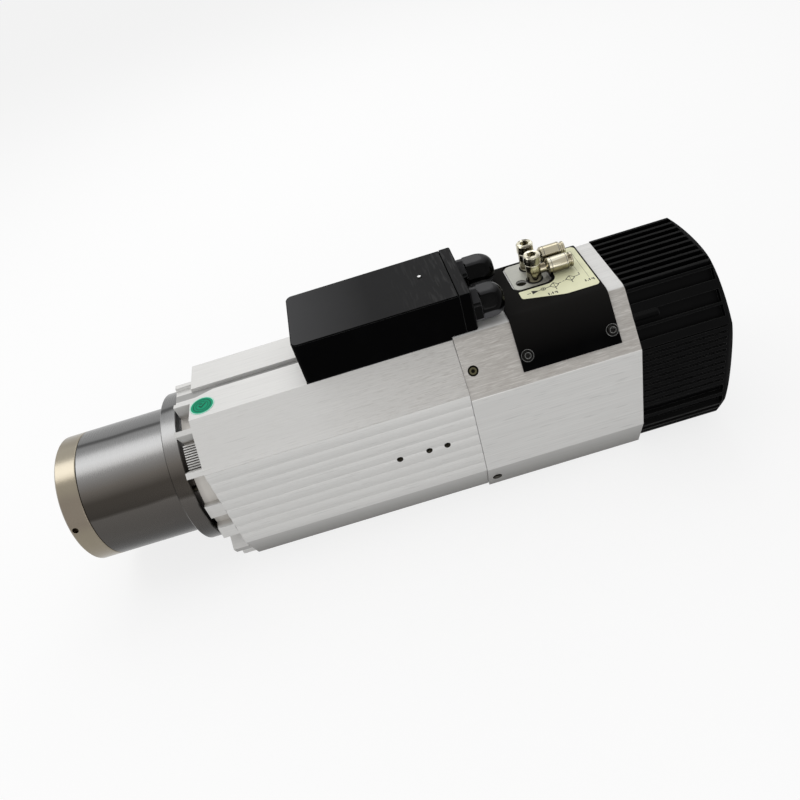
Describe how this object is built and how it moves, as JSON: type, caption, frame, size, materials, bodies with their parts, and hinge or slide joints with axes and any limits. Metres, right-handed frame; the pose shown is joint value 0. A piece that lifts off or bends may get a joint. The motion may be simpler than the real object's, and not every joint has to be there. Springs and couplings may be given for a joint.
{
  "type": "motor spindle",
  "caption": "Fan-cooled electric motor spindle with a tool taper, pneumatic tool release, terminal box, swivelling air fittings and a ribbed fan cover.",
  "frame": {"origin": "on the spindle axis at the nose face of the shaft, the gauge plane of the tool taper", "axes": "X along the spindle axis with the nose towards -X, +Z towards the terminal box, the mounting base faces -Z"},
  "size_m": [0.5559, 0.1326, 0.188],
  "materials": {
    "front_ring": "satin nickel",
    "front_bearing_housing": "turned, oiled",
    "flange_screws": "black oxide",
    "front_housing": "extruded, brushed",
    "rear_housing": "extruded, brushed",
    "stator_core": "laminated",
    "end_windings": "varnished copper wire",
    "front_outer_rings": "ground",
    "front_outer_spacer": "ground",
    "rear_bearing_carrier": "turned",
    "rear_outer_ring": "ground",
    "housing_screws": "black oxide",
    "spindle_shaft": "ground",
    "drive_keys": "hardened",
    "front_inner_rings": "ground",
    "front_inner_spacer": "ground",
    "front_locknut": "turned",
    "rotor_core": "laminated",
    "rotor_end_rings": "die cast",
    "rear_inner_ring": "ground",
    "rear_locknut": "turned",
    "drawbar_guide": "turned",
    "drawbar": "ground",
    "tool_gripper": "hardened",
    "disc_springs": "spring steel",
    "drawbar_nut": "turned",
    "release_cylinder": "turned",
    "release_piston": "turned",
    "piston_seal": "moulded",
    "return_springs": "spring steel",
    "cylinder_cover": "turned",
    "cylinder_screws": "black oxide",
    "proximity_sensors": "nickel plated",
    "terminal_box": "matt black paint",
    "box_screw": "plain",
    "box_end_plate": "matt black paint",
    "box_gasket": "cut sheet",
    "terminal_block": "moulded",
    "gland_bodies": "moulded",
    "gland_nuts": "moulded",
    "saddle_cover": "satin black paint",
    "saddle_screws": "black oxide",
    "port_plate": "plain",
    "diagram_label": "printed film",
    "inspection_sticker": "printed film",
    "banjo_bolts": "nickel plated",
    "elbow_near": "nickel plated",
    "elbow_far": "nickel plated",
    "release_collet_near": "nickel plated",
    "release_collet_far": "nickel plated",
    "fan_cover": "satin black coating",
    "fan_frame": "moulded",
    "fan_impeller": "moulded",
    "fan_guard": "bright wire",
    "fan_screws": "black oxide"
  },
  "bodies": {
    "housing": {"front_ring": "front_ring", "front_bearing_housing": "front_bearing_housing", "flange_screws": "flange_screws", "front_housing": "front_housing", "rear_housing": "rear_housing", "stator_core": "stator_core", "end_windings": "end_windings", "front_outer_rings": "front_outer_rings", "front_outer_spacer": "front_outer_spacer", "rear_bearing_carrier": "rear_bearing_carrier", "rear_outer_ring": "rear_outer_ring", "housing_screws": "housing_screws", "release_cylinder": "release_cylinder", "cylinder_cover": "cylinder_cover", "cylinder_screws": "cylinder_screws", "proximity_sensors": "proximity_sensors", "terminal_box": "terminal_box", "box_screw": "box_screw", "box_end_plate": "box_end_plate", "box_gasket": "box_gasket", "terminal_block": "terminal_block", "gland_bodies": "gland_bodies", "gland_nuts": "gland_nuts", "saddle_cover": "saddle_cover", "saddle_screws": "saddle_screws", "port_plate": "port_plate", "diagram_label": "diagram_label", "inspection_sticker": "inspection_sticker", "banjo_bolts": "banjo_bolts", "fan_cover": "fan_cover", "fan_frame": "fan_frame", "fan_guard": "fan_guard", "fan_screws": "fan_screws"},
    "rotor": {"spindle_shaft": "spindle_shaft", "drive_keys": "drive_keys", "front_inner_rings": "front_inner_rings", "front_inner_spacer": "front_inner_spacer", "front_locknut": "front_locknut", "rotor_core": "rotor_core", "rotor_end_rings": "rotor_end_rings", "rear_inner_ring": "rear_inner_ring", "rear_locknut": "rear_locknut", "drawbar_guide": "drawbar_guide"},
    "drawbar": {"drawbar": "drawbar", "tool_gripper": "tool_gripper", "disc_springs": "disc_springs", "drawbar_nut": "drawbar_nut"},
    "piston": {"release_piston": "release_piston", "piston_seal": "piston_seal", "return_springs": "return_springs"},
    "elbow_near": {"elbow_near": "elbow_near"},
    "elbow_far": {"elbow_far": "elbow_far"},
    "collet_near": {"release_collet_near": "release_collet_near"},
    "collet_far": {"release_collet_far": "release_collet_far"},
    "fan": {"fan_impeller": "fan_impeller"}
  },
  "joints": [
    {"name": "spindle_spin", "type": "hinge", "parent": "housing", "child": "rotor", "pos_m": [0, 0, 0], "axis": [1, 0, 0], "continuous": true},
    {"name": "drawbar_slide", "type": "slide", "parent": "rotor", "child": "drawbar", "axis": [-1, 0, 0], "range_m": [0, 0.008], "stiffness_N_per_m": 8000, "deforming": ["disc_springs"]},
    {"name": "piston_slide", "type": "slide", "parent": "housing", "child": "piston", "axis": [-1, 0, 0], "range_m": [0, 0.008], "stiffness_N_per_m": 2000, "deforming": ["return_springs"]},
    {"name": "fan_spin", "type": "hinge", "parent": "housing", "child": "fan", "pos_m": [0.53, 0, 0], "axis": [1, 0, 0], "continuous": true},
    {"name": "elbow_near_swivel", "type": "hinge", "parent": "housing", "child": "elbow_near", "pos_m": [0.417, 0.006, 0.0863], "axis": [0, 0, 1], "range_deg": [-110, 5]},
    {"name": "elbow_far_swivel", "type": "hinge", "parent": "housing", "child": "elbow_far", "pos_m": [0.417, 0.0245, 0.0863], "axis": [0, 0, 1], "range_deg": [-5, 110]},
    {"name": "collet_near_press", "type": "slide", "parent": "elbow_near", "child": "collet_near", "axis": [-1, 0, 0], "range_m": [0, 0.0012], "stiffness_N_per_m": 500},
    {"name": "collet_far_press", "type": "slide", "parent": "elbow_far", "child": "collet_far", "axis": [-1, 0, 0], "range_m": [0, 0.0012], "stiffness_N_per_m": 500}
  ],
  "couplings": [
    {"joint": "drawbar_slide", "follows": "piston_slide", "ratio": 1}
  ]
}
